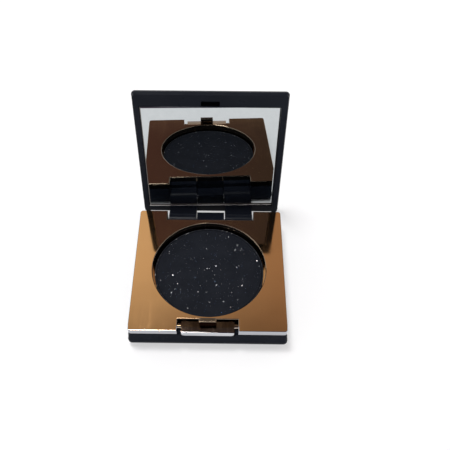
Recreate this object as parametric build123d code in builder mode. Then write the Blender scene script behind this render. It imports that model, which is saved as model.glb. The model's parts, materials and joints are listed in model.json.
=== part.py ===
from build123d import *
import os
from math import cos, radians, sin

# A square hinged compact for one round pan of pressed eyeshadow, standing open.
# Origin: centre of the flat underside. +X is the user's right, +Y points back to the hinge, +Z up.
# Millimetres throughout.

# ---- driving dimensions ----
width = 50.0  # plated frame, left to right
depth = 48.7  # plated frame, front to back
height = 9.0  # underside to the frame's top face
plate_thickness = 2.0  # edge of the plated frame
lid_width = 49.3  # at its rim
lid_thickness = 3.5
open_angle = 96.2  # lid opening from closed to its stop

# ---- clearances ----
seam = 0.2  # closed lid above the frame
slip = 0.15  # a small moving gap
pin_clearance = 0.05  # radial, pin in the tray's knuckle

# ---- shared positions ----
front = -depth / 2
back = depth / 2
plate_bottom = height - plate_thickness
corner_radius = 1.0

# ---- base tray ----
tray_overhang = 0.4  # of its widest level, beyond the plated frame
tray_widest = 2.6
tray_draft = 6.5  # degrees, its sides leaning in above the widest level
wall = 1.6
floor_thickness = 1.3
shadow_groove = 0.45  # height and depth of the groove under the plated frame
underside_round = 2.1

# ---- plated frame ----
deck_edge = 0.22  # small round on every edge of its top face
skirt_height = 2.2
skirt_thickness = 0.8

# ---- pan well, pan and powder ----
pan_centre_y = front + 24.2
well_radius = 18.94
well_wall = 0.86
well_floor_top = 2.6
well_floor = 0.9
pan_radius = 18.3
pan_metal = 0.4
pan_corner = 0.7
pan_rim_drop = 2.5  # rim below the frame's top face
adhesive_radius = 9.0
adhesive_thickness = 0.2
powder_drop = 0.05  # powder below the pan's rim

# ---- button and its slot ----
slot_width = 19.3
slot_back = front + 4.4
button_width = 16.8
button_front = front - 0.2
button_back = front + 3.75
button_travel = 0.5
button_top = height - 0.65
button_slope = 0.3  # drop of its top from back to front
button_bottom = height - 2.9
button_corner = 1.1
foot_width = 18.4
foot_front = front + wall + 0.3
foot_bottom = 3.6  # lower body behind the tray's front wall
catch_width = 5.3
catch_front = front + 2.2
catch_back = front + 3.7
catch_top = height + 2.0
hook_reach = 0.5
hook_thickness = 0.75
catch_round = 0.2
lug_radius = 0.7
lug_reach = 1.9
lug_y = front + 2.5
lug_z = height - 1.6

# ---- button springs ----
spring_x = 7.5
spring_z = 4.9
spring_wire = 0.26
spring_radius = 0.78  # to the middle of the wire
spring_turns = 4.5
spring_pocket_floor = front + 2.35
spring_seat_face = front + 5.3
seat_half_width = 1.3

# ---- hinge ----
hinge_y = front + 49.0
hinge_z = height - 6.1
notch_width = 30.6
notch_front = front + 44.65
notch_wall = 0.55
knuckle_radius = 2.6
tray_knuckle_size = 5.0
tray_knuckle_width = 9.8
stop_ledge_back = front + 46.7
stop_ledge_rise = 2.75  # ledge's underside above the hinge axis
arm_inner = 5.2  # lid arms, from the middle of the compact
arm_outer = 15.1
pin_radius = 0.8
pin_inner_end = 1.2

# ---- lid, in distances and heights from the hinge axis when closed ----
lid_front = front + 0.3 - hinge_y
lid_back = front + 50.1 - hinge_y
lid_rim = height + seam - hinge_z
lid_top = lid_rim + lid_thickness
lid_bulge = 0.35  # its sides swell this far beyond the rim
lid_widest = lid_rim + 1.3
lid_draft = 15  # degrees, between the rim and the widest level
lid_edge_round = 2.0
recess_edge = 0.3  # bevel round the recess
mirror_width = 45.2
mirror_front = front + 4.9 - hinge_y
mirror_back = front + 47.4 - hinge_y
mirror_recess = 0.5
mirror_thickness = 1.2
tape_thickness = 0.5
tape_inset = 2.5
pocket_width = 6.0  # catch pocket in the lid's front bar
pocket_front = front + 1.6 - hinge_y
pocket_back = front + 4.35 - hinge_y
pocket_depth = 2.4
lip_reach = 0.85
lip_thickness = 0.8
heel_front = -2.4  # square heel of each arm, which meets the stop ledge
arm_back_top = lid_rim + 1.2

# The lid is drawn closed. This plane carries it round the hinge axis to the open position:
# its local Y runs from the lid's front to its back, and its local Z is the closed lid's up.
lid_plane = Plane(
    origin=(0, hinge_y, hinge_z),
    x_dir=(1, 0, 0),
    z_dir=(0, sin(radians(open_angle)), cos(radians(open_angle))),
)
# The same lid seen along X: local X is the lid's local Y, local Y is its height.
lid_side = Plane(origin=lid_plane.origin, x_dir=lid_plane.y_dir, z_dir=lid_plane.x_dir)


def span(x_low, x_high, y_low, y_high, mode=Mode.ADD):
    """A rectangle given by its edges, in the sketch being drawn."""
    with Locations(((x_low + x_high) / 2, (y_low + y_high) / 2)):
        Rectangle(x_high - x_low, y_high - y_low, mode=mode)


def block(x_span, y_span, z_span, mode=Mode.ADD, plane=Plane.XY):
    """A box given by its edges, in the part being built."""
    with BuildSketch(plane.offset(z_span[0])) as outline:
        span(*x_span, *y_span)
    extrude(outline.sketch, amount=z_span[1] - z_span[0], mode=mode)


def save(piece, name):
    """Label a finished piece and write it to its own file."""
    piece.label = name
    export_step(piece, f"parts/{name}.step")


os.makedirs("parts", exist_ok=True)

# ---- base_shell: the black lower tray, with the notch and knuckle of the hinge ----
notch_half = notch_width / 2
window_half = button_width / 2 + 2 * slip
with BuildPart() as base_shell:
    with BuildSketch(Plane.XY.offset(tray_widest)) as outline:
        RectangleRounded(width + 2 * tray_overhang, depth + 2 * tray_overhang, corner_radius)
    extrude(outline.sketch, amount=plate_bottom - shadow_groove - tray_widest, taper=tray_draft)
    extrude(outline.sketch, amount=-tray_widest)
    fillet(base_shell.faces().sort_by(Axis.Z)[0].edges(), underside_round)
    with BuildSketch(Plane.XY.offset(plate_bottom - shadow_groove)):
        RectangleRounded(width - 2 * shadow_groove, depth - 2 * shadow_groove, corner_radius)
    extrude(amount=shadow_groove)
    # the cavity stops short of the hinge notch
    with BuildSketch(Plane.XY.offset(floor_thickness)):
        RectangleRounded(width - 2 * wall, depth - 2 * wall, corner_radius)
        span(-notch_half - wall, notch_half + wall, notch_front - notch_wall, back, Mode.SUBTRACT)
    extrude(amount=plate_bottom, mode=Mode.SUBTRACT)
    block((-notch_half, notch_half), (notch_front, back + 1), (-1, height), Mode.SUBTRACT)
    # window in the front wall for the button's face
    block((-window_half, window_half), (front - 1, front + wall), (button_bottom - slip, height), Mode.SUBTRACT)
    for side in (-1, 1):
        # stop ledge above each lid arm's heel
        ledge = sorted((side * arm_inner, side * arm_outer))
        block(ledge, (notch_front - notch_wall, stop_ledge_back), (hinge_z + stop_ledge_rise, plate_bottom))
        # rail under the button's foot
        rail = sorted((side * (spring_x - 1.3), side * (spring_x + 1.3)))
        block(rail, (front + wall, spring_seat_face - slip), (floor_thickness, foot_bottom - slip))
    # centre knuckle, on a web from the notch's front wall
    knuckle_half = tray_knuckle_width / 2
    with BuildSketch(Plane.YZ.offset(-knuckle_half)):
        with Locations((hinge_y, hinge_z)):
            RectangleRounded(tray_knuckle_size, tray_knuckle_size, 0.9)
        span(notch_front - notch_wall, hinge_y, hinge_z - tray_knuckle_size / 2, hinge_z + 0.8)
    extrude(amount=tray_knuckle_width)
    for side in (-1, 1):
        with BuildSketch(Plane.YZ.offset(side * knuckle_half)):
            with Locations((hinge_y, hinge_z)):
                Circle(pin_radius + pin_clearance)
        extrude(amount=-side * (knuckle_half - pin_inner_end + slip), mode=Mode.SUBTRACT)
save(base_shell.part, "base_shell")

# ---- deck_frame: the plated frame with the pan well ----
groove_half = button_width / 2 + lug_reach + slip
with BuildPart() as deck_frame:
    with BuildSketch(Plane.XY.offset(plate_bottom)):
        RectangleRounded(width, depth, corner_radius)
    extrude(amount=plate_thickness)
    # skirt that plugs into the tray, open round the button and the hinge notch
    with BuildSketch(Plane.XY.offset(plate_bottom - skirt_height)):
        RectangleRounded(width - 2 * wall, depth - 2 * wall, corner_radius)
        skirt_inset = 2 * (wall + skirt_thickness)
        Rectangle(width - skirt_inset, depth - skirt_inset, mode=Mode.SUBTRACT)
        span(-groove_half, groove_half, front, front + 6, Mode.SUBTRACT)
        span(-notch_half - wall - slip, notch_half + wall + slip, back - 6, back, Mode.SUBTRACT)
    extrude(amount=skirt_height)
    # flats beside the well for the button's springs to push against
    for side in (-1, 1):
        seat = sorted((side * (spring_x - seat_half_width), side * (spring_x + seat_half_width)))
        block(seat, (spring_seat_face, spring_seat_face + 2.4), (foot_bottom, plate_bottom))
    # round well, closed by its own floor
    with BuildSketch(Plane.XY.offset(well_floor_top - well_floor)):
        with Locations((0, pan_centre_y)):
            Circle(well_radius + well_wall)
    extrude(amount=plate_bottom - well_floor_top + well_floor)
    with BuildSketch(Plane.XY.offset(well_floor_top)):
        with Locations((0, pan_centre_y)):
            Circle(well_radius)
    extrude(amount=height, mode=Mode.SUBTRACT)
    # button slot at the front and hinge notch at the back
    block((-slot_width / 2, slot_width / 2), (front - 1, slot_back), (plate_bottom, height), Mode.SUBTRACT)
    block((-notch_half, notch_half), (notch_front, back + 1), (plate_bottom, height), Mode.SUBTRACT)
    # grooves in the slot's ends for the button's lugs, open below
    groove_front = lug_y - lug_radius - slip
    groove_back = lug_y + lug_radius + button_travel + slip
    groove_top = lug_z + lug_radius + slip
    block((-groove_half, groove_half), (groove_front, groove_back), (plate_bottom, groove_top), Mode.SUBTRACT)
    fillet(deck_frame.faces().sort_by(Axis.Z)[-1].edges(), deck_edge)
save(deck_frame.part, "deck_frame")

# ---- push_button: face, upright hooked catch, foot and guide lugs in one plated moulding ----
with BuildPart() as push_button:
    with BuildSketch(Plane.XZ.offset(-button_front)):
        with BuildLine():
            half = button_width / 2
            FilletPolyline(
                (-half, button_top), (-half, button_bottom), (half, button_bottom), (half, button_top),
                radius=button_corner,
            )
            Line((-half, button_top), (half, button_top))
        make_face()
    extrude(amount=button_front - button_back)
    with BuildSketch(Plane.YZ):
        Polygon(
            (button_front, button_top), (button_back, button_top), (button_front, button_top - button_slope),
            align=None,
        )
    extrude(amount=width, both=True, mode=Mode.SUBTRACT)
    fillet(push_button.faces().sort_by(Axis.Y)[0].edges(), 0.35)
    block((-foot_width / 2, foot_width / 2), (foot_front, button_back), (foot_bottom, button_bottom + button_corner))
    # catch, whose hook faces the front
    catch = (-catch_width / 2, catch_width / 2)
    block(catch, (catch_front + hook_reach, catch_back), (button_top - button_slope, catch_top))
    block(catch, (catch_front, catch_back), (catch_top - hook_thickness, catch_top))
    fillet(push_button.faces().sort_by(Axis.Z)[-1].edges(), catch_round)
    for side in (-1, 1):
        with BuildSketch(Plane.YZ.offset(side * button_width / 2)):
            with Locations((lug_y, lug_z)):
                Circle(lug_radius)
        extrude(amount=side * lug_reach)
        with BuildSketch(Plane.XZ.offset(-button_back)):
            with Locations((side * spring_x, spring_z)):
                Circle(spring_radius + spring_wire)
        extrude(amount=button_back - spring_pocket_floor, mode=Mode.SUBTRACT)
save(push_button.part, "push_button")

# ---- button_spring_left and _right: compression springs along Y ----
spring_length = spring_seat_face - spring_pocket_floor
coil_pitch = (spring_length - spring_wire) / spring_turns
for name, side in (("button_spring_left", -1), ("button_spring_right", 1)):
    coil_start = (side * spring_x, spring_pocket_floor + spring_wire / 2, spring_z)
    with BuildPart() as spring:
        with BuildLine() as coil:
            Helix(coil_pitch, coil_pitch * spring_turns, spring_radius, center=coil_start, direction=(0, 1, 0))
        with BuildSketch(Plane(coil.line @ 0, z_dir=coil.line % 0)):
            Circle(spring_wire / 2)
        sweep(is_frenet=True)
    save(spring.part, name)

# ---- eyeshadow_pan: shallow pressed tinplate dish ----
pan_bottom = well_floor_top + adhesive_thickness
pan_rim = height - pan_rim_drop
with BuildPart() as eyeshadow_pan:
    with BuildSketch(Plane.XY.offset(pan_bottom)):
        with Locations((0, pan_centre_y)):
            Circle(pan_radius)
    extrude(amount=pan_rim - pan_bottom)
    fillet(eyeshadow_pan.faces().sort_by(Axis.Z)[0].edges(), pan_corner)
    rim_face = eyeshadow_pan.faces().sort_by(Axis.Z)[-1]
    offset(amount=-pan_metal, openings=rim_face)
    fillet(eyeshadow_pan.faces().sort_by(Axis.Z)[-1].edges(), pan_metal / 2.5)
save(eyeshadow_pan.part, "eyeshadow_pan")

# ---- pan_adhesive: disc between the pan and the well's floor ----
with BuildPart() as pan_adhesive:
    with BuildSketch(Plane.XY.offset(well_floor_top)):
        with Locations((0, pan_centre_y)):
            Circle(adhesive_radius)
    extrude(amount=adhesive_thickness)
save(pan_adhesive.part, "pan_adhesive")

# ---- eyeshadow_cake: pressed powder that fills the pan ----
with BuildPart() as eyeshadow_cake:
    with BuildSketch(Plane.XY.offset(pan_bottom + pan_metal)):
        with Locations((0, pan_centre_y)):
            Circle(pan_radius - pan_metal)
    extrude(amount=pan_rim - powder_drop - pan_bottom - pan_metal)
    fillet(eyeshadow_cake.faces().sort_by(Axis.Z)[0].edges(), pan_corner - pan_metal)
    fillet(eyeshadow_cake.faces().sort_by(Axis.Z)[-1].edges(), 0.2)
save(eyeshadow_cake.part, "eyeshadow_cake")

# ---- lid_shell: the black lid, with the mirror's recess, the catch's pocket and the hinge arms ----
lid_middle_y = (lid_front + lid_back) / 2
lid_depth = lid_back - lid_front
mirror_half = mirror_width / 2
with BuildPart() as lid_shell:
    with BuildSketch(lid_plane.offset(lid_widest)):
        with Locations((0, lid_middle_y)):
            RectangleRounded(lid_width + 2 * lid_bulge, lid_depth + 2 * lid_bulge, corner_radius)
    extrude(amount=lid_top - lid_widest)
    fillet(lid_shell.faces().sort_by(Axis((0, 0, 0), lid_plane.z_dir))[-1].edges(), lid_edge_round)
    with BuildSketch(lid_plane.offset(lid_rim)):
        with Locations((0, lid_middle_y)):
            RectangleRounded(lid_width, lid_depth, corner_radius)
    extrude(amount=lid_widest - lid_rim, taper=-lid_draft)
    # the rim is lower between the mirror and the hinge
    low_rim = (mirror_back, lid_back + width)
    block((-mirror_half, mirror_half), low_rim, (lid_rim, lid_rim + mirror_recess), Mode.SUBTRACT, lid_plane)
    with BuildSketch(lid_plane.offset(lid_rim)):
        bevel_half = mirror_half + recess_edge
        span(-bevel_half, bevel_half, mirror_front - recess_edge, lid_back + width)
    extrude(amount=recess_edge, taper=45, mode=Mode.SUBTRACT)
    # hinge arms, each with a round knuckle and a square heel
    for side in (-1, 1):
        arm_start = arm_inner if side > 0 else -arm_outer
        with BuildSketch(lid_side.offset(arm_start)):
            Circle(knuckle_radius)
            Polygon(
                (heel_front, -knuckle_radius), (0, -knuckle_radius), (knuckle_radius, 0),
                (lid_back, arm_back_top), (mirror_back, arm_back_top), (mirror_back, lid_rim),
                align=None,
            )
        extrude(amount=arm_outer - arm_inner)
        with BuildSketch(lid_side.offset(arm_start)):
            Circle(pin_radius)
        extrude(amount=arm_outer - arm_inner, mode=Mode.SUBTRACT)
    # recess for the mirror and its tape
    recess_depth = mirror_recess + mirror_thickness + tape_thickness
    recess = (mirror_front - 0.05, mirror_back + 0.05)
    block((-mirror_half - 0.05, mirror_half + 0.05), recess, (lid_rim, lid_rim + recess_depth), Mode.SUBTRACT, lid_plane)
    # pocket for the catch, with the lip that the hook holds
    pocket = (-pocket_width / 2, pocket_width / 2)
    block(pocket, (pocket_front, pocket_back), (lid_rim, lid_rim + pocket_depth), Mode.SUBTRACT, lid_plane)
    block(pocket, (pocket_front, pocket_front + lip_reach), (lid_rim, lid_rim + lip_thickness), plane=lid_plane)
save(lid_shell.part, "lid_shell")

# ---- mirror_glass and the foam tape behind it ----
glass_front = lid_rim + mirror_recess
glass_back = glass_front + mirror_thickness
with BuildPart() as mirror_glass:
    block((-mirror_half, mirror_half), (mirror_front, mirror_back), (glass_front, glass_back), plane=lid_plane)
save(mirror_glass.part, "mirror_glass")

with BuildPart() as mirror_adhesive:
    block(
        (-mirror_half + tape_inset, mirror_half - tape_inset),
        (mirror_front + tape_inset, mirror_back - tape_inset),
        (glass_back, glass_back + tape_thickness),
        plane=lid_plane,
    )
save(mirror_adhesive.part, "mirror_adhesive")

# ---- hinge_pin_left and _right: pressed through the arms, turning in the tray's knuckle ----
for name, side in (("hinge_pin_left", -1), ("hinge_pin_right", 1)):
    with BuildPart() as hinge_pin:
        with BuildSketch(Plane.YZ.offset(side * pin_inner_end)):
            with Locations((hinge_y, hinge_z)):
                Circle(pin_radius)
        extrude(amount=side * (arm_outer - pin_inner_end))
        chamfer(hinge_pin.edges().filter_by(GeomType.CIRCLE), 0.15)
    save(hinge_pin.part, name)
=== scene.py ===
import json
import math
import random

import bmesh
import bpy
from mathutils import Euler, Matrix, Vector, noise


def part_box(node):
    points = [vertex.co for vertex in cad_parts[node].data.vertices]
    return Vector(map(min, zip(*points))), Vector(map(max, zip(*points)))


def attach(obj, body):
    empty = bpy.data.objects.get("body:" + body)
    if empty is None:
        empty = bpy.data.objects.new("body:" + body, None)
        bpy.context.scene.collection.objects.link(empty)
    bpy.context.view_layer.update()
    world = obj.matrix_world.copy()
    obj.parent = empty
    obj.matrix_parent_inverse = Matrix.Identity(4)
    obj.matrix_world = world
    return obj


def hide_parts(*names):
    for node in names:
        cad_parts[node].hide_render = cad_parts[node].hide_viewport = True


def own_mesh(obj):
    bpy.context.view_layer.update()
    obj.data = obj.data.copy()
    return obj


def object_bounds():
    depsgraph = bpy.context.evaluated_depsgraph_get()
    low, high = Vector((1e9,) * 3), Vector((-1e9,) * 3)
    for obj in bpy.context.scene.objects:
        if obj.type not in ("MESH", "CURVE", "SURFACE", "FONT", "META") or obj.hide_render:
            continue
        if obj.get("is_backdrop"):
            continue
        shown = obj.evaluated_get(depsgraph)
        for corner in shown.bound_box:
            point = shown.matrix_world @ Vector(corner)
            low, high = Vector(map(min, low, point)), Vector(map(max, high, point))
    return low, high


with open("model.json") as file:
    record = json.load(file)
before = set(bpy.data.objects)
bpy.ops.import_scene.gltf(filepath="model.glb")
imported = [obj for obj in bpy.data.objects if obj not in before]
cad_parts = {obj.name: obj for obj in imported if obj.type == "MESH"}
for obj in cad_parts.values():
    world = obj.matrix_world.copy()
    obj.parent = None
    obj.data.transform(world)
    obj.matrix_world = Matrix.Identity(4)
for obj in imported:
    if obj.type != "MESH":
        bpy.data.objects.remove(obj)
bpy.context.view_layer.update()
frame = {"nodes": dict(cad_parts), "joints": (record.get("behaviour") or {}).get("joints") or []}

# A square mirror compact with one round pan of dark glitter eyeshadow, standing open.
# Metres. +X is the user's right, +Y the hinge side, +Z up; the compact stands on z = 0.

MM = 0.001
DECK_LOW, DECK_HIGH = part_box("deck_frame")
DECK_TOP = DECK_HIGH.z
CAKE_LOW, CAKE_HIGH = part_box("eyeshadow_cake")
HINGE = Vector(frame["joints"][0]["pos_m"])
LACQUER_TOP = DECK_TOP + 0.3 * MM  # what stands higher is bare metal
BARE_DEPTH = 2 * MM  # how far back from the frame's front edge its sides are bare metal
# glow of the table: painted fill light that lifts the shadows round the compact
TABLE_GLOW = 0.5


# ---------------------------------------------------------------- node helpers
class Shader:
    """A procedural material: a Principled shader and short ways to add the nodes that feed it."""

    def __init__(self, name, **inputs):
        self.material = bpy.data.materials.new(name)
        self.material.use_nodes = True
        self.nodes = self.material.node_tree.nodes
        self.links = self.material.node_tree.links
        self.main = self.nodes["Principled BSDF"]
        for key, value in inputs.items():
            self.set(key.replace("_", " "), value)
        self.coordinates = self.nodes.new("ShaderNodeTexCoord")

    def set(self, socket, value):
        """Give one of the shader's inputs a number, a colour or another node's output."""
        self.feed(self.main.inputs[socket], value)

    def feed(self, target, value):
        if isinstance(value, bpy.types.NodeSocket):
            self.links.new(value, target)
        elif isinstance(value, tuple) and len(value) == 3:
            target.default_value = (*value, 1.0)
        else:
            target.default_value = value

    def place(self, scale=(1, 1, 1), turn=(0, 0, 0)):
        """Object coordinates, stretched and turned."""
        mapping = self.nodes.new("ShaderNodeMapping")
        mapping.inputs["Scale"].default_value = scale
        mapping.inputs["Rotation"].default_value = turn
        self.links.new(self.coordinates.outputs["Object"], mapping.inputs["Vector"])
        return mapping.outputs["Vector"]

    def noise(self, scale, detail=3.0, roughness=0.5, where=None, distortion=0.0):
        node = self.nodes.new("ShaderNodeTexNoise")
        node.inputs["Scale"].default_value = scale
        node.inputs["Detail"].default_value = detail
        node.inputs["Roughness"].default_value = roughness
        node.inputs["Distortion"].default_value = distortion
        self.links.new(where or self.coordinates.outputs["Object"], node.inputs["Vector"])
        return node.outputs["Fac"]

    def cells(self, scale, output="Distance"):
        node = self.nodes.new("ShaderNodeTexVoronoi")
        node.inputs["Scale"].default_value = scale
        self.links.new(self.coordinates.outputs["Object"], node.inputs["Vector"])
        return node.outputs[output]

    def ramp(self, fac, stops):
        node = self.nodes.new("ShaderNodeValToRGB")
        ramp = node.color_ramp
        while len(ramp.elements) < len(stops):
            ramp.elements.new(1.0)
        for element, (position, colour) in zip(ramp.elements, stops):
            element.position = position
            grey = (colour,) * 3 if isinstance(colour, (int, float)) else colour
            element.color = (*grey, 1.0)
        self.links.new(fac, node.inputs["Fac"])
        return node.outputs["Color"]

    def split(self, vector, axis):
        node = self.nodes.new("ShaderNodeSeparateXYZ")
        self.links.new(vector, node.inputs["Vector"])
        return node.outputs[axis]

    def math(self, operation, a, b=0.0, c=None):
        node = self.nodes.new("ShaderNodeMath")
        node.operation = operation
        for socket, value in zip(node.inputs, (a, b) if c is None else (a, b, c)):
            self.feed(socket, value)
        return node.outputs["Value"]

    def mix(self, fac, a, b):
        node = self.nodes.new("ShaderNodeMix")
        node.data_type = "RGBA"
        self.feed(node.inputs["Factor"], fac)
        self.feed(node.inputs["A"], a)
        self.feed(node.inputs["B"], b)
        return node.outputs["Result"]

    def bump(self, height, distance, strength=1.0, under=None):
        node = self.nodes.new("ShaderNodeBump")
        node.inputs["Distance"].default_value = distance
        node.inputs["Strength"].default_value = strength
        self.links.new(height, node.inputs["Height"])
        if under is not None:
            self.links.new(under, node.inputs["Normal"])
        return node.outputs["Normal"]


# ---------------------------------------------------------------- materials
def black_plastic(name, gloss_low, gloss_high, shine):
    """Satin-gloss black ABS: faint moulding texture, hairline scratches and handling marks."""
    s = Shader(name, Specular_IOR_Level=shine)
    cloud = s.noise(60, 4)
    s.set("Base Color", s.ramp(cloud, [(0.3, (0.0045, 0.0060, 0.0100)), (0.7, (0.0078, 0.0096, 0.0145))]))
    handling = s.noise(140, 5, 0.6, distortion=0.4)
    s.set("Roughness", s.ramp(handling, [(0.3, gloss_low), (0.72, gloss_high)]))
    texture = s.bump(s.noise(5200, 2), 0.000004, 0.5)
    hairline = s.noise(900, 2, 0.6, where=s.place((1, 0.02, 0.02), (0.2, 0.1, 0.7)))
    scratches = s.bump(s.ramp(hairline, [(0.66, 0.0), (0.70, 1.0)]), 0.000002, 0.35, texture)
    s.set("Normal", s.bump(s.noise(45, 2), 0.00006, 0.25, scratches))
    return s.material


def plating(name, bronze_low, bronze_high, bare_low, bare_high):
    """Mirror-bright plating lacquered from above: bronze on the faces that look up, bare metal on
    the front face and its edges and on all that stands above LACQUER_TOP, and a faintly uneven
    dark tone on the walls and edges further back, painted shade. Slow ripple, smudges and wipe marks."""
    s = Shader(name, Metallic=1.0)
    tone = s.noise(38, 3)
    bronze = s.ramp(tone, [(0.3, bronze_low), (0.7, bronze_high)])
    front = s.ramp(tone, [(0.3, bare_low), (0.7, bare_high)])
    place = s.coordinates.outputs["Object"]
    depth = s.math("MULTIPLY_ADD", s.split(place, "Y"), 1 / BARE_DEPTH, -DECK_LOW.y / BARE_DEPTH)
    mottle = s.ramp(s.noise(1400, 3), [(0.3, 0.0), (0.7, 1.0)])
    # painted shade: a faintly uneven dark tone on walls and edges further back than BARE_DEPTH, standing in
    # for their shade
    rear_wall_painted_shade = s.mix(mottle, (0.235, 0.175, 0.12), (0.285, 0.225, 0.165))
    sides = s.mix(s.ramp(depth, [(0.75, 0.0), (1.0, 1.0)]), front, rear_wall_painted_shade)
    facing_up = s.ramp(s.split(s.coordinates.outputs["Normal"], "Z"), [(0.985, 0.0), (0.9995, 1.0)])
    low_enough = s.math("LESS_THAN", s.split(place, "Z"), LACQUER_TOP)
    s.set("Base Color", s.mix(s.math("MULTIPLY", facing_up, low_enough), sides, bronze))
    smudge = s.noise(85, 6, 0.65, distortion=0.8)
    wipe = s.noise(1500, 2, 0.5, where=s.place((1, 0.05, 0.05), (0, 0, 0.5)))
    smudged = s.ramp(smudge, [(0.42, 0.04), (0.75, 0.12)])
    s.set("Roughness", s.mix(0.25, smudged, s.ramp(wipe, [(0.45, 0.03), (0.8, 0.15)])))
    ripple = s.bump(s.noise(70, 2, 0.4), 0.00012, 0.35)
    s.set("Normal", s.bump(wipe, 0.0000015, 0.5, ripple))
    return s.material


def mirror_silver(name):
    """Silvered glass, faintly grey-green, with a trace of dust and wiping."""
    s = Shader(name, Metallic=1.0)
    dust = s.noise(420, 5, 0.7)
    s.set("Base Color", s.ramp(dust, [(0.35, (0.535, 0.565, 0.575)), (0.7, (0.565, 0.595, 0.605))]))
    s.set("Roughness", s.ramp(dust, [(0.5, 0.004), (0.8, 0.05)]))
    return s.material


def ground_glass(name, low, high, metallic):
    """The mirror's ground edge, streaked along its length between two tones."""
    s = Shader(name, Metallic=metallic, Specular_IOR_Level=0.3)
    grind = s.noise(700, 3, 0.6, where=s.place((1, 6, 6)))
    s.set("Base Color", s.ramp(grind, [(0.3, low), (0.7, high)]))
    s.set("Roughness", s.ramp(grind, [(0.3, 0.25), (0.7, 0.5)]))
    s.set("Normal", s.bump(grind, 0.00001, 0.3))
    return s.material


def pressed_powder(name):
    """Charcoal powder: a fine grain, a cloth-press mottle and specks of silver and blue glitter."""
    s = Shader(name, Specular_IOR_Level=0.06)
    mottle = s.noise(160, 6, 0.65)
    base = s.ramp(mottle, [(0.3, (0.0080, 0.0096, 0.0135)), (0.7, (0.0125, 0.0145, 0.0195))])
    speck_id = s.cells(3600, "Color")
    near = s.cells(3600, "Distance")
    lit = s.ramp(speck_id, [(0.0, 0.0), (0.90, 0.0), (0.94, 1.0)])
    core = s.ramp(near, [(0.16, 1.0), (0.24, 0.0)])
    speck = s.math("MULTIPLY", lit, core)
    tint = s.ramp(s.noise(900, 1), [(0.4, (0.25, 0.32, 0.55)), (0.6, (0.55, 0.57, 0.62))])
    s.set("Base Color", s.mix(speck, base, tint))
    s.set("Roughness", s.math("MULTIPLY_ADD", speck, -0.45, 0.85))
    s.set("Metallic", s.math("MULTIPLY", speck, 0.6))
    grain = s.bump(s.noise(4200, 4, 0.7), 0.00003, 0.55)
    s.set("Normal", s.bump(mottle, 0.00008, 0.35, grain))
    return s.material


def glitter(name, low, high):
    """Foil glitter flakes, which differ a little from one to the next."""
    s = Shader(name, Metallic=1.0)
    shade = s.cells(2400, "Color")
    s.set("Base Color", s.ramp(shade, [(0.2, low), (0.8, high)]))
    s.set("Roughness", s.ramp(s.noise(3000, 2), [(0.3, 0.2), (0.7, 0.4)]))
    return s.material


def brushed_metal(name, low, high, rough_low, rough_high, stretch=(1, 1, 1)):
    """Drawn or pressed steel with fine lines along its length."""
    s = Shader(name, Metallic=1.0)
    lines = s.noise(1800, 3, 0.6, where=s.place(stretch))
    s.set("Base Color", s.ramp(lines, [(0.3, low), (0.7, high)]))
    s.set("Roughness", s.ramp(lines, [(0.3, rough_low), (0.7, rough_high)]))
    s.set("Normal", s.bump(lines, 0.000004, 0.4))
    return s.material


def dusty_tinplate(name):
    """The pan: pressed tinplate whose rim is mostly hidden under dark powder dust."""
    s = Shader(name)
    dust = s.ramp(s.noise(900, 5, 0.7), [(0.30, 0.0), (0.42, 1.0)])
    metal = s.ramp(s.noise(1800, 3), [(0.3, (0.30, 0.30, 0.30)), (0.7, (0.45, 0.45, 0.45))])
    s.set("Base Color", s.mix(dust, metal, (0.014, 0.016, 0.021)))
    s.set("Metallic", s.math("SUBTRACT", 1.0, dust))
    s.set("Roughness", s.math("MULTIPLY_ADD", dust, 0.55, 0.25))
    s.set("Specular IOR Level", 0.08)
    s.set("Normal", s.bump(s.noise(3800, 4, 0.7), 0.00002, 0.5))
    return s.material


def soft_sheet(name, low, high, grain):
    """Foam tape or adhesive film: an open, slightly dirty cell texture."""
    s = Shader(name, Specular_IOR_Level=0.3)
    cell = s.cells(grain)
    s.set("Base Color", s.ramp(cell, [(0.1, low), (0.7, high)]))
    s.set("Roughness", s.ramp(s.noise(grain / 3, 3), [(0.3, 0.6), (0.7, 0.9)]))
    s.set("Normal", s.bump(cell, 0.00004, 0.5))
    return s.material


def pale_table(name):
    """The matt white surface that the compact stands on. It glows, painted fill light that lifts the
    shadows round the compact, except right under the compact, which leaves painted shade there."""
    s = Shader(name, Specular_IOR_Level=0.25, Emission_Color=(1.0, 1.0, 1.0))
    place = s.coordinates.outputs["Object"]
    low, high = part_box("base_shell")
    middle, half_depth = (low.y + high.y) / 2, (high.y - low.y) / 2
    across = s.math("ABSOLUTE", s.math("DIVIDE", s.split(place, "X"), high.x))
    along = s.math("ABSOLUTE", s.math("DIVIDE", s.math("SUBTRACT", s.split(place, "Y"), middle), half_depth))
    # painted shade under the compact: no glow inside its footprint, painted fill light outside it
    clear = s.ramp(s.math("MAXIMUM", across, along), [(0.90, 0.0), (0.98, 1.0)])
    s.set("Emission Strength", s.math("MULTIPLY", clear, TABLE_GLOW))
    s.set("Base Color", s.ramp(s.noise(14, 3), [(0.3, (0.445, 0.447, 0.450)), (0.7, (0.465, 0.465, 0.465))]))
    s.set("Roughness", s.ramp(s.noise(300, 3), [(0.3, 0.65), (0.7, 0.8)]))
    return s.material


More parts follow.
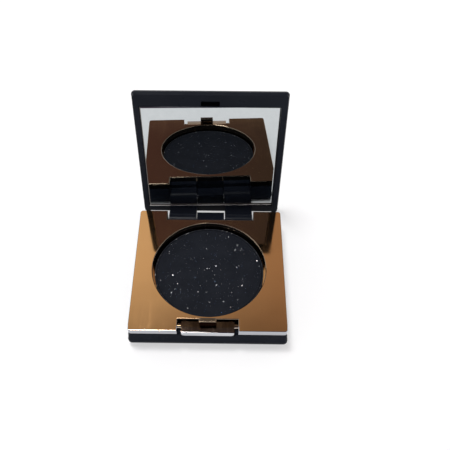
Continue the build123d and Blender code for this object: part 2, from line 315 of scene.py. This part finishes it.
BLACK_TRAY = black_plastic("black_tray", 0.20, 0.34, 0.025)
BLACK_LID = black_plastic("black_lid", 0.24, 0.40, 0.07)
BRONZE = plating(
    "bronze_plating",
    bronze_low=(0.815, 0.440, 0.180),
    bronze_high=(0.865, 0.480, 0.205),
    bare_low=(0.38, 0.39, 0.42),
    bare_high=(0.45, 0.46, 0.49),
)
BUTTON_BRONZE = plating(
    "button_plating",
    bronze_low=(0.215, 0.125, 0.062),
    bronze_high=(0.265, 0.150, 0.074),
    bare_low=(0.42, 0.44, 0.47),
    bare_high=(0.60, 0.61, 0.63),
)
SILVER = mirror_silver("mirror_silver")
GLASS_EDGE = ground_glass("ground_glass_edge", (0.055, 0.050, 0.046), (0.12, 0.108, 0.098), 0.2)
# painted highlight: near-white colour on the mirror's lower ground edge stands in for the light that edge
# catches
GLASS_EDGE_PAINTED_HIGHLIGHT = ground_glass("glass_edge_painted_highlight", (0.72, 0.70, 0.65), (1.0, 0.98, 0.94), 0.0)
POWDER = pressed_powder("pressed_powder")
GLITTER_SILVER = glitter("glitter_silver", (0.62, 0.64, 0.68), (0.92, 0.93, 0.95))
GLITTER_BLUE = glitter("glitter_blue", (0.20, 0.32, 0.62), (0.50, 0.62, 0.85))
TINPLATE = dusty_tinplate("tinplate")
SPRING_WIRE = brushed_metal("spring_wire", (0.42, 0.42, 0.43), (0.62, 0.62, 0.63), 0.2, 0.38)
PIN_STEEL = brushed_metal("pin_steel", (0.50, 0.50, 0.51), (0.68, 0.68, 0.69), 0.16, 0.3, (0.1, 1, 1))
FOAM = soft_sheet("foam_tape", (0.60, 0.60, 0.58), (0.82, 0.82, 0.80), 2600)
GLUE = soft_sheet("adhesive_film", (0.55, 0.50, 0.36), (0.78, 0.73, 0.58), 1500)


def dress(node, material):
    """Give every material slot of a CAD node one finished material."""
    for slot in frame["nodes"][node].material_slots:
        slot.material = material


for node, material in (
    ("base_shell", BLACK_TRAY),
    ("lid_shell", BLACK_LID),
    ("deck_frame", BRONZE),
    ("push_button", BUTTON_BRONZE),
    ("eyeshadow_pan", TINPLATE),
    ("hinge_pin_left", PIN_STEEL),
    ("hinge_pin_right", PIN_STEEL),
    ("mirror_adhesive", FOAM),
    ("pan_adhesive", GLUE),
):
    dress(node, material)


# ---------------------------------------------------------------- mesh helpers
def new_piece(name, mesh_builder, materials, body, smooth=True):
    """A mesh object made by a function that fills a bmesh, riding on a CAD body."""
    mesh = bpy.data.meshes.new(name)
    bm = bmesh.new()
    mesh_builder(bm)
    bm.normal_update()
    bm.to_mesh(mesh)
    bm.free()
    for material in materials:
        mesh.materials.append(material)
    for polygon in mesh.polygons:
        polygon.use_smooth = smooth
    piece = bpy.data.objects.new(name, mesh)
    bpy.context.scene.collection.objects.link(piece)
    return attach(piece, body)


# ---------------------------------------------------------------- mirror plate
# The lid at rest leans past upright: these are the directions of its closed X, Y and Z axes.
LID_HINGE = next(j for j in frame["joints"] if j["type"] == "hinge")
OPEN_ANGLE = math.radians(LID_HINGE["range_deg"][1])
LID_ALONG = Vector((0, math.cos(OPEN_ANGLE), -math.sin(OPEN_ANGLE)))
LID_UP = Vector((0, math.sin(OPEN_ANGLE), math.cos(OPEN_ANGLE)))


def lid_point(x, along, up):
    """A point of the closed lid, measured from the hinge axis, where the open lid carries it."""
    return Vector((x, 0, 0)) + Vector((0, HINGE.y, HINGE.z)) + LID_ALONG * along + LID_UP * up


def lid_span(node):
    """A node's extent along the lid and across its thickness, from the hinge axis."""
    mesh = frame["nodes"][node].data
    at = [v.co - Vector((0, HINGE.y, HINGE.z)) for v in mesh.vertices]
    along = [p.dot(LID_ALONG) for p in at]
    up = [p.dot(LID_UP) for p in at]
    across = [p.x for p in at]
    return min(across), max(across), min(along), max(along), min(up), max(up)


MIRROR_THICKNESS = 1.0 * MM
MIRROR_BEVEL = 0.28 * MM  # along the left side and the lid's front edge
MIRROR_BEVEL_SLOPE = 0.6
MIRROR_RIGHT_STRIP = 0.5 * MM  # shallow bevel that catches the table
MIRROR_RIGHT_SLOPE = 0.1
MIRROR_MARGIN = 1.05 * MM  # unsilvered glass along the hinge side
MIRROR_LINE = 0.3 * MM  # its lower edge, near-white as a painted highlight
MIRROR_SKEW = math.tan(math.radians(1.53))  # the glass is stuck on slightly crooked
SILVERED, GROUND, PAINTED_HIGHLIGHT_SLOT = range(3)  # the plate's material slots


def mirror_plate(bm):
    """A glass plate, its left edge nearer the user than its right: a silvered face with bevelled
    sides, and along the hinge side a dull margin that ends in a near-white ground edge, a painted highlight."""
    left, right, front, hinge_side, face, _ = lid_span("mirror_glass")
    xs = (left, left + MIRROR_BEVEL, right - MIRROR_RIGHT_STRIP, right)
    alongs = (front, front + MIRROR_BEVEL, hinge_side - MIRROR_MARGIN, hinge_side - MIRROR_LINE, hinge_side)

    def point(i, j, up):
        return bm.verts.new(lid_point(xs[i], alongs[j], up + xs[i] * MIRROR_SKEW))

    def drop(i, j):
        """How far a corner of the face lies below it, on the bevels."""
        if i == 0 or j == 0:
            return MIRROR_BEVEL * MIRROR_BEVEL_SLOPE
        return MIRROR_RIGHT_STRIP * MIRROR_RIGHT_SLOPE if i == 3 else 0.0

    def quad(corners, material):
        bm.faces.new(corners).material_index = material

    grid = {(i, j): point(i, j, face + drop(i, j)) for i in range(4) for j in range(5)}
    for i in range(3):
        side = GROUND if i == 0 else SILVERED
        for j, material in enumerate((side, side, GROUND, PAINTED_HIGHLIGHT_SLOT)):
            quad((grid[i, j], grid[i, j + 1], grid[i + 1, j + 1], grid[i + 1, j]), material)
    loop = [(i, 0) for i in range(4)] + [(3, j) for j in range(1, 5)]
    loop += [(i, 4) for i in (2, 1, 0)] + [(0, j) for j in (3, 2, 1)]
    rim = [grid[at] for at in loop]
    back = [point(i, j, face + MIRROR_THICKNESS) for i, j in loop]
    for k in range(len(rim)):
        quad((rim[k - 1], rim[k], back[k], back[k - 1]), GROUND)
    quad(back, GROUND)
    bmesh.ops.recalc_face_normals(bm, faces=bm.faces)


plate_materials = (SILVER, GLASS_EDGE, GLASS_EDGE_PAINTED_HIGHLIGHT)
mirror = new_piece("mirror_plate", mirror_plate, plate_materials, "lid", smooth=False)
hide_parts("mirror_glass")

# ---------------------------------------------------------------- springs
WIRE_RADIUS = 0.12 * MM
SPRING_TURNS = 5.5
SPRING_STEPS = 150
WIRE_SIDES = 10


def spring_coil(low, high):
    """Builds a compression spring along Y that fills its CAD box, its end turns closer together."""
    middle = (low + high) / 2
    radius = min(high.x - low.x, high.z - low.z) / 2 - WIRE_RADIUS
    start, length = low.y + WIRE_RADIUS, high.y - low.y - 2 * WIRE_RADIUS

    def build(bm):
        rings = []
        for step in range(SPRING_STEPS + 1):
            t = step / SPRING_STEPS
            turn = 2 * math.pi * SPRING_TURNS * t
            out = Vector((math.cos(turn), 0, math.sin(turn)))
            y = start + length * (0.5 * t + 0.5 * t * t * (3 - 2 * t))
            centre = Vector((middle.x, y, middle.z)) + out * radius
            ring = []
            for k in range(WIRE_SIDES):
                a = 2 * math.pi * k / WIRE_SIDES
                around = out * math.cos(a) + Vector((0, math.sin(a), 0))
                ring.append(bm.verts.new(centre + WIRE_RADIUS * around))
            rings.append(ring)
        for ring, following in zip(rings, rings[1:]):
            for k in range(WIRE_SIDES):
                bm.faces.new((ring[k - 1], ring[k], following[k], following[k - 1]))
        bm.faces.new(rings[0])
        bm.faces.new(rings[-1])
        bmesh.ops.recalc_face_normals(bm, faces=bm.faces)

    return build


for side in ("left", "right"):
    low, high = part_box("button_spring_" + side)
    coil = new_piece("coil_spring_" + side, spring_coil(low, high), (SPRING_WIRE,), "base")
    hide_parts("button_spring_" + side)
    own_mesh(coil)

# ---------------------------------------------------------------- powder
PAN_CENTRE = Vector(((CAKE_LOW.x + CAKE_HIGH.x) / 2, (CAKE_LOW.y + CAKE_HIGH.y) / 2, 0))
CAKE_RADIUS = (CAKE_HIGH.x - CAKE_LOW.x) / 2
CAKE_TOP = CAKE_HIGH.z
POWDER_RINGS = 90
POWDER_SEGMENTS = 180
GRAIN_HEIGHT = 0.035 * MM
COARSE_GRAIN = 420  # waves per metre
FINE_GRAIN = 2600
SHOULDER = 0.3 * MM


def powder_height(x, y, r):
    """Height of the pressed face: level, with a fine grain and a rounded shoulder at its edge."""
    coarse = noise.noise(Vector((x, y, 0)) * COARSE_GRAIN)
    fine = noise.noise(Vector((x, y, 0.01)) * FINE_GRAIN)
    grain = GRAIN_HEIGHT * (0.55 * coarse + 0.45 * fine - 0.9)
    edge = max(0.0, r - (CAKE_RADIUS - SHOULDER)) / SHOULDER
    return CAKE_TOP + grain - SHOULDER * (1 - math.sqrt(max(0.0, 1 - edge * edge)))


def powder_cake(bm):
    centre = bm.verts.new((PAN_CENTRE.x, PAN_CENTRE.y, powder_height(0, 0, 0)))
    rings = []
    for k in range(1, POWDER_RINGS + 1):
        r = CAKE_RADIUS * k / POWDER_RINGS
        ring = []
        for i in range(POWDER_SEGMENTS):
            a = 2 * math.pi * i / POWDER_SEGMENTS
            x, y = r * math.cos(a), r * math.sin(a)
            ring.append(bm.verts.new((PAN_CENTRE.x + x, PAN_CENTRE.y + y, powder_height(x, y, r))))
        rings.append(ring)
    bottom = [bm.verts.new((v.co.x, v.co.y, CAKE_LOW.z)) for v in rings[-1]]
    rings.append(bottom)
    for i in range(POWDER_SEGMENTS):
        j = (i + 1) % POWDER_SEGMENTS
        bm.faces.new((centre, rings[0][i], rings[0][j]))
        for inner, outer in zip(rings, rings[1:]):
            bm.faces.new((inner[i], outer[i], outer[j], inner[j]))
    bm.faces.new(reversed(bottom))
    bmesh.ops.recalc_face_normals(bm, faces=bm.faces)


powder = new_piece("powder_cake", powder_cake, (POWDER,), "base")
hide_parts("eyeshadow_cake")

FLAKE_SIDES = 6
FLAKE_LIFT = 0.15  # of its size, above the powder


def flakes(count, size_low, size_high, tilt, seed):
    """Builds a scatter of six-sided foil flakes lying in the powder's face."""

    def build(bm):
        dice = random.Random(seed)
        for _ in range(count):
            r = (CAKE_RADIUS - SHOULDER * 1.5) * math.sqrt(dice.random())
            a = dice.uniform(0, 2 * math.pi)
            x, y = r * math.cos(a), r * math.sin(a)
            size = dice.uniform(size_low, size_high) * dice.uniform(0.6, 1.0)
            turn = Euler((dice.gauss(0, tilt), dice.gauss(0, tilt), dice.uniform(0, math.pi))).to_matrix()
            centre = PAN_CENTRE + Vector((x, y, powder_height(x, y, r) + FLAKE_LIFT * size))
            corners = []
            for side in range(FLAKE_SIDES):
                b = 2 * math.pi * side / FLAKE_SIDES
                spoke = Vector((size * math.cos(b), size * math.sin(b), 0))
                corners.append(bm.verts.new(centre + turn @ spoke))
            bm.faces.new(corners)

    return build


for name, count, low, high, tilt, material, seed in (
    ("glitter_silver", 260, 0.030 * MM, 0.060 * MM, 0.35, GLITTER_SILVER, 11),
    ("glitter_blue", 240, 0.030 * MM, 0.070 * MM, 0.35, GLITTER_BLUE, 12),
    ("glitter_large", 42, 0.120 * MM, 0.190 * MM, 0.12, GLITTER_SILVER, 13),
):
    new_piece(name, flakes(count, low, high, tilt, seed), (material,), "base", smooth=False)

# ---------------------------------------------------------------- stage, light and camera
TABLE = bpy.data.meshes.new("table")
TABLE.from_pydata([(-2, -2, 0), (2, -2, 0), (2, 2, 0), (-2, 2, 0)], [], [(0, 1, 2, 3)])
TABLE.materials.append(pale_table("pale_table"))
table = bpy.data.objects.new("table", TABLE)
bpy.context.scene.collection.objects.link(table)
table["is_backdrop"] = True


def sky():
    """Soft studio surroundings: a wide pale wall behind, brighter to the left and fading overhead,
    a dim room on the user's side and a pale band low all round."""
    world = bpy.data.worlds.new("studio")
    bpy.context.scene.world = world
    world.use_nodes = True
    nodes, links = world.node_tree.nodes, world.node_tree.links
    nodes.clear()
    coordinates = nodes.new("ShaderNodeTexCoord")
    direction = nodes.new("ShaderNodeSeparateXYZ")
    links.new(coordinates.outputs["Generated"], direction.inputs["Vector"])

    def smooth(axis, low, high):
        """Rises smoothly from 0 to 1 as the direction's component goes from low to high."""
        step = nodes.new("ShaderNodeMapRange")
        step.interpolation_type = "SMOOTHSTEP"
        links.new(direction.outputs[axis], step.inputs["Value"])
        step.inputs["From Min"].default_value, step.inputs["From Max"].default_value = low, high
        return step.outputs["Result"]

    def blend(fac, a, b):
        mix = nodes.new("ShaderNodeMix")
        mix.data_type = "RGBA"
        links.new(fac, mix.inputs["Factor"])
        for socket, value in ((mix.inputs["A"], a), (mix.inputs["B"], b)):
            if isinstance(value, tuple):
                socket.default_value = (*value, 1.0)
            else:
                links.new(value, socket)
        return mix.outputs["Result"]

    wall = blend(smooth("X", -0.16, 0.12), (0.67, 0.66, 0.64), (0.34, 0.275, 0.245))
    wall = blend(smooth("Z", 0.805, 0.935), wall, (0.06, 0.05, 0.05))
    room = blend(smooth("X", -0.3, 0.3), (0.13, 0.085, 0.12), (0.055, 0.062, 0.082))
    both = blend(smooth("Y", -0.05, 0.25), room, wall)
    low = blend(smooth("Z", 0.18, 0.50), (2.7, 2.7, 2.71), both)
    background = nodes.new("ShaderNodeBackground")
    links.new(low, background.inputs["Color"])
    output = nodes.new("ShaderNodeOutputWorld")
    links.new(background.outputs["Background"], output.inputs["Surface"])


sky()


def softbox(name, azimuth, elevation, distance, size, watts):
    """A square area light in a direction from the compact: azimuth from straight behind, to the right."""
    light = bpy.data.lights.new(name, "AREA")
    light.shape = "RECTANGLE"
    light.size, light.size_y = size
    light.energy = watts
    holder = bpy.data.objects.new(name, light)
    around, rise = math.radians(azimuth), math.radians(elevation)
    away = Vector((math.sin(around) * math.cos(rise), math.cos(around) * math.cos(rise), math.sin(rise)))
    holder.location = away * distance
    holder.rotation_mode = "QUATERNION"
    holder.rotation_quaternion = (-away).to_track_quat("-Z", "Y")
    bpy.context.scene.collection.objects.link(holder)


softbox("window", -42, 74, 1.0, (0.26, 0.26), 7.5)

# The camera looks down at the compact from the user's side.
CAMERA_AZIMUTH = math.radians(0.816)
CAMERA_ELEVATION = math.radians(54.473)
CAMERA_DISTANCE = 0.1959
CAMERA_TARGET = Vector((0.0022, 0.0251 + DECK_LOW.y, DECK_TOP))
CAMERA_LENS = 46.82
CAMERA_SHIFT = (0.0207, 0.0776)

camera_data = bpy.data.cameras.new("camera")
camera_data.sensor_width = 36.0
camera_data.lens = CAMERA_LENS
camera_data.shift_x, camera_data.shift_y = CAMERA_SHIFT
camera_data.clip_start, camera_data.clip_end = 0.01, 10.0
camera = bpy.data.objects.new("camera", camera_data)
back = Vector(
    (
        math.sin(CAMERA_AZIMUTH) * math.cos(CAMERA_ELEVATION),
        -math.cos(CAMERA_AZIMUTH) * math.cos(CAMERA_ELEVATION),
        math.sin(CAMERA_ELEVATION),
    )
)
right = Vector((math.cos(CAMERA_AZIMUTH), math.sin(CAMERA_AZIMUTH), 0))
up = back.cross(right)
camera.matrix_world = Matrix.Translation(CAMERA_TARGET + up * 0.0017 + back * CAMERA_DISTANCE) @ Matrix(
    (right, up, back)
).transposed().to_4x4()
bpy.context.scene.collection.objects.link(camera)
bpy.context.scene.camera = camera
bpy.context.scene.view_settings.view_transform = "Standard"

low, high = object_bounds()
